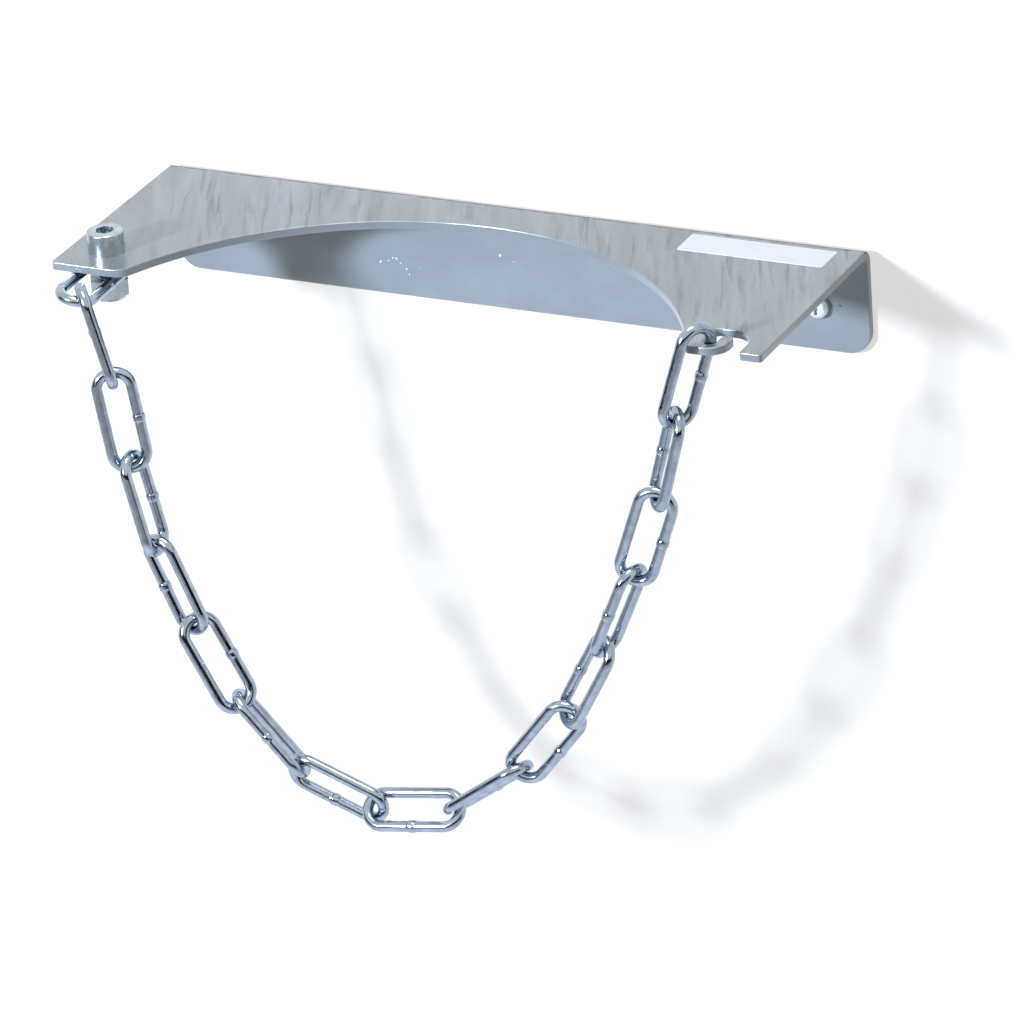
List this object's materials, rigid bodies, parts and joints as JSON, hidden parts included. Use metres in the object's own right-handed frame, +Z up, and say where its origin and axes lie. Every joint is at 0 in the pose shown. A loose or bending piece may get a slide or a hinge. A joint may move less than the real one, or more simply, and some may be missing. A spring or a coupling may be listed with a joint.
{
  "type": "gas cylinder bracket",
  "caption": "Wall bracket for one gas cylinder: a folded plate with a round cut-out, a hook slot and a long-link restraining chain.",
  "frame": {"origin": "midway between the two wall fixings, on the back face of the flange", "axes": "+Z up, +Y into the wall, +X to the right seen from the front"},
  "size_m": [0.2702, 0.1524, 0.207],
  "materials": {
    "bracket_paint": "satin",
    "zinc_chain": "gloss",
    "zinc_screw": "gloss",
    "white_plastic": "matte",
    "wall_screw_steel": "satin"
  },
  "bodies": {
    "bracket": {"bracket": "bracket_paint", "chain_screw": "zinc_screw", "lock_nut": "zinc_screw", "nut_insert": "white_plastic", "wall_screw_left": "wall_screw_steel", "wall_screw_right": "wall_screw_steel", "link_01": "zinc_chain", "link_16": "zinc_chain"},
    "chain": {"link_09": "zinc_chain"},
    "link_02_body": {"link_02": "zinc_chain"},
    "link_03_body": {"link_03": "zinc_chain"},
    "link_04_body": {"link_04": "zinc_chain"},
    "link_05_body": {"link_05": "zinc_chain"},
    "link_06_body": {"link_06": "zinc_chain"},
    "link_07_body": {"link_07": "zinc_chain"},
    "link_08_body": {"link_08": "zinc_chain"},
    "link_10_body": {"link_10": "zinc_chain"},
    "link_11_body": {"link_11": "zinc_chain"},
    "link_12_body": {"link_12": "zinc_chain"},
    "link_13_body": {"link_13": "zinc_chain"},
    "link_14_body": {"link_14": "zinc_chain"},
    "link_15_body": {"link_15": "zinc_chain"}
  },
  "joints": [
    {"name": "chain_swing", "type": "hinge", "parent": "bracket", "child": "chain", "pos_m": [-0.00611, -0.10333, 0.00533], "axis": [0.9945, 0.0425, -0.0961], "range_deg": [-6, 6]},
    {"name": "link_02_roll", "type": "hinge", "parent": "chain", "child": "link_02_body", "pos_m": [-0.11199, -0.10789, 0.00298], "axis": [0.2539, 0.0088, -0.9672], "range_deg": [-2.5, 2.5]},
    {"name": "link_03_roll", "type": "hinge", "parent": "chain", "child": "link_03_body", "pos_m": [-0.1053, -0.10738, -0.02832], "axis": [0.1515, 0.0052, -0.9885], "range_deg": [-2.5, 2.5]},
    {"name": "link_04_roll", "type": "hinge", "parent": "chain", "child": "link_04_body", "pos_m": [-0.09935, -0.10724, -0.05952], "axis": [0.22, 0.0076, -0.9755], "range_deg": [-2.5, 2.5]},
    {"name": "link_05_roll", "type": "hinge", "parent": "chain", "child": "link_05_body", "pos_m": [-0.08997, -0.10692, -0.09004], "axis": [0.3859, 0.0133, -0.9224], "range_deg": [-2.5, 2.5]},
    {"name": "link_06_roll", "type": "hinge", "parent": "chain", "child": "link_06_body", "pos_m": [-0.07603, -0.10657, -0.11872], "axis": [0.4648, 0.0161, -0.8853], "range_deg": [-2.5, 2.5]},
    {"name": "link_07_roll", "type": "hinge", "parent": "chain", "child": "link_07_body", "pos_m": [-0.05775, -0.10494, -0.1445], "axis": [0.665, 0.023, -0.7464], "range_deg": [-2.5, 2.5]},
    {"name": "link_08_roll", "type": "hinge", "parent": "chain", "child": "link_08_body", "pos_m": [-0.03326, -0.10387, -0.16307], "axis": [0.9312, 0.0322, -0.363], "range_deg": [-2.5, 2.5]},
    {"name": "link_10_roll", "type": "hinge", "parent": "chain", "child": "link_10_body", "pos_m": [0.02457, -0.10136, -0.15459], "axis": [0.8113, 0.0281, 0.584], "range_deg": [-2.5, 2.5]},
    {"name": "link_11_roll", "type": "hinge", "parent": "chain", "child": "link_11_body", "pos_m": [0.04785, -0.10035, -0.13354], "axis": [0.619, 0.0214, 0.7851], "range_deg": [-2.5, 2.5]},
    {"name": "link_12_roll", "type": "hinge", "parent": "chain", "child": "link_12_body", "pos_m": [0.06497, -0.10007, -0.10738], "axis": [0.4734, 0.0164, 0.8807], "range_deg": [-2.5, 2.5]},
    {"name": "link_13_roll", "type": "hinge", "parent": "chain", "child": "link_13_body", "pos_m": [0.07856, -0.0991, -0.07869], "axis": [0.3948, 0.0137, 0.9186], "range_deg": [-2.5, 2.5]},
    {"name": "link_14_roll", "type": "hinge", "parent": "chain", "child": "link_14_body", "pos_m": [0.09033, -0.09869, -0.049], "axis": [0.3298, 0.0114, 0.944], "range_deg": [-2.5, 2.5]},
    {"name": "link_15_roll", "type": "hinge", "parent": "chain", "child": "link_15_body", "pos_m": [0.09978, -0.09852, -0.01868], "axis": [0.2632, 0.0091, 0.9647], "range_deg": [-2.5, 2.5]}
  ]
}
